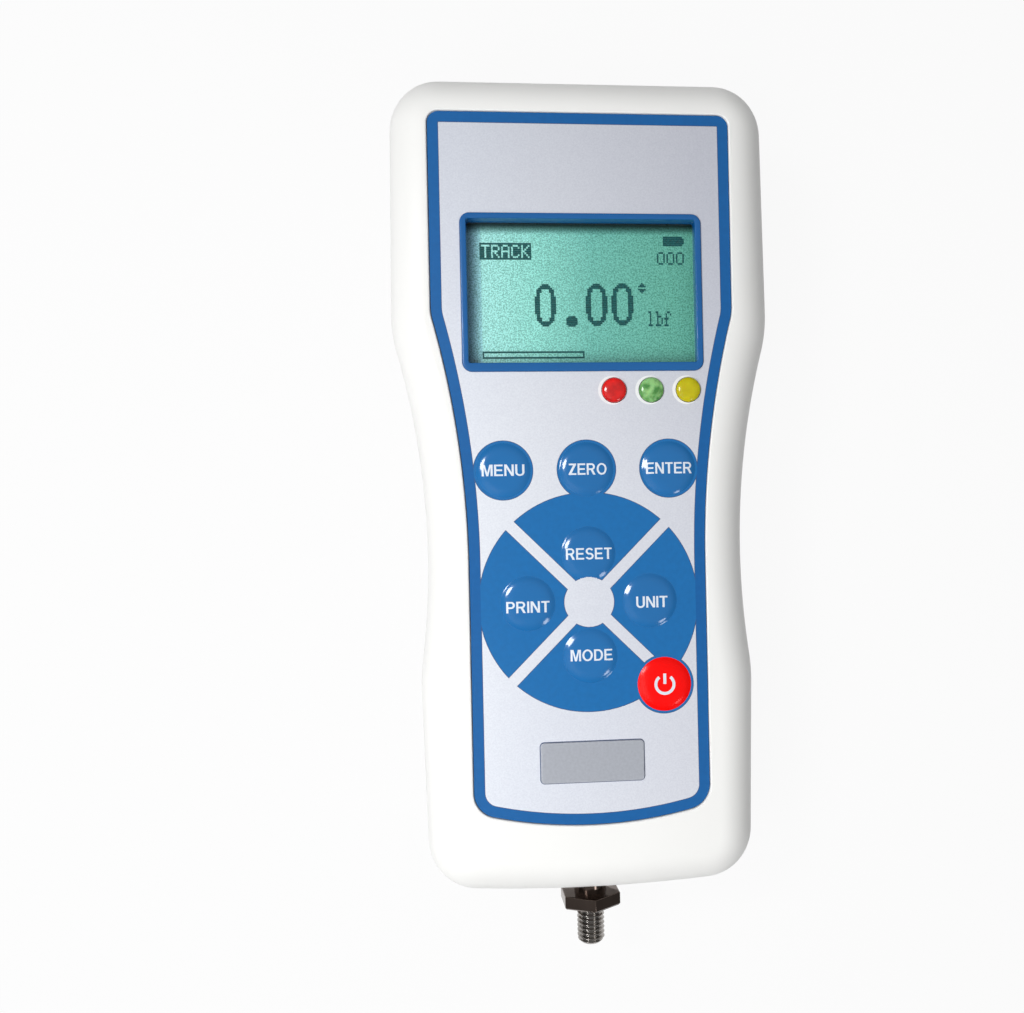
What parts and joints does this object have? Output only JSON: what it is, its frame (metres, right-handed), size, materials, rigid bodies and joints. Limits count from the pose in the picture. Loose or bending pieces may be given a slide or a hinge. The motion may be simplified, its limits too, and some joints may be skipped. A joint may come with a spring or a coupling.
{
  "type": "digital force gauge",
  "caption": "Hand-held digital force gauge with display, indicator lamps, membrane keys and a threaded measuring shaft that pushes and pulls on a load cell.",
  "frame": {"origin": "centre of the four rear mounting bushes, on the flat back face", "axes": "+X to the right of the display, +Y towards the display end, +Z out of the front panel; the measuring shaft points along -Y"},
  "size_m": [0.0788, 0.1843, 0.0367],
  "materials": {
    "white_casing": "fine satin",
    "panel_print": "printed film, silver grey and blue",
    "clear_film": "satin",
    "spring_steel": "bright",
    "blue_key": "printed film",
    "sector_key": "printed film",
    "red_key": "printed film",
    "red_lens": "tinted clear",
    "green_lens": "tinted, diffused",
    "yellow_lens": "tinted, diffused",
    "plate_metal": "satin foil, bare",
    "frame_plastic": "smooth",
    "window_clear": "clear",
    "tin_plate": "satin",
    "display_green": "polarised, pale green",
    "backlight_white": "diffusing",
    "circuit_board": "solder mask",
    "brass": "turned",
    "black_plastic": "satin",
    "ivory_plastic": "satin",
    "zinc_screw": "zinc plated",
    "plated_steel": "bright plated",
    "black_rubber": "satin",
    "machined_aluminium": "milled",
    "gauge_foil": "thin foil on film",
    "cell_wrap": "shrink sleeve"
  },
  "bodies": {
    "gauge": {"front_shell": "white_casing", "rear_shell": "white_casing", "panel_overlay": "panel_print", "key_spacer": "clear_film", "key_film": "clear_film", "snap_domes": "spring_steel", "red_lamp": "red_lens", "green_lamp": "green_lens", "yellow_lamp": "yellow_lens", "rating_plate": "plate_metal", "display_frame": "frame_plastic", "display_window": "window_clear", "display_bezel": "tin_plate", "display_glass": "display_green", "display_backlight": "backlight_white", "display_board": "circuit_board", "display_spacers": "brass", "main_board": "circuit_board", "board_chips": "black_plastic", "buzzer": "black_plastic", "film_connector": "ivory_plastic", "board_screws": "zinc_screw", "case_screws": "zinc_screw", "guard_ring": "black_rubber", "load_cell": "machined_aluminium", "strain_gauges": "gauge_foil", "chassis": "machined_aluminium", "load_cell_screws": "zinc_screw", "chassis_screws": "zinc_screw", "mounting_bushes": "brass", "battery_tray": "black_plastic", "battery_cells": "cell_wrap", "battery_strap": "tin_plate", "socket_board": "circuit_board", "socket_board_screws": "zinc_screw", "power_socket": "black_plastic", "data_socket": "tin_plate"},
    "menu_key": {"menu_key": "blue_key"},
    "zero_key": {"zero_key": "blue_key"},
    "enter_key": {"enter_key": "blue_key"},
    "reset_key": {"reset_key": "sector_key"},
    "print_key": {"print_key": "sector_key"},
    "unit_key": {"unit_key": "sector_key"},
    "mode_key": {"mode_key": "sector_key"},
    "power_key": {"power_key": "red_key"},
    "shaft": {"measuring_shaft": "plated_steel"}
  },
  "joints": [
    {"name": "menu_key_press", "type": "slide", "parent": "gauge", "child": "menu_key", "axis": [0, 0, -1], "range_m": [0, 0.0003], "stiffness_N_per_m": 2500},
    {"name": "zero_key_press", "type": "slide", "parent": "gauge", "child": "zero_key", "axis": [0, 0, -1], "range_m": [0, 0.0003], "stiffness_N_per_m": 2500},
    {"name": "enter_key_press", "type": "slide", "parent": "gauge", "child": "enter_key", "axis": [0, 0, -1], "range_m": [0, 0.0003], "stiffness_N_per_m": 2500},
    {"name": "reset_key_press", "type": "slide", "parent": "gauge", "child": "reset_key", "axis": [0, 0, -1], "range_m": [0, 0.0003], "stiffness_N_per_m": 2500},
    {"name": "print_key_press", "type": "slide", "parent": "gauge", "child": "print_key", "axis": [0, 0, -1], "range_m": [0, 0.0003], "stiffness_N_per_m": 2500},
    {"name": "unit_key_press", "type": "slide", "parent": "gauge", "child": "unit_key", "axis": [0, 0, -1], "range_m": [0, 0.0003], "stiffness_N_per_m": 2500},
    {"name": "mode_key_press", "type": "slide", "parent": "gauge", "child": "mode_key", "axis": [0, 0, -1], "range_m": [0, 0.0003], "stiffness_N_per_m": 2500},
    {"name": "power_key_press", "type": "slide", "parent": "gauge", "child": "power_key", "axis": [0, 0, -1], "range_m": [0, 0.0003], "stiffness_N_per_m": 2500},
    {"name": "shaft_push_pull", "type": "slide", "parent": "gauge", "child": "shaft", "axis": [0, -1, 0], "range_m": [-0.00025, 0.00025], "stiffness_N_per_m": 20000}
  ]
}
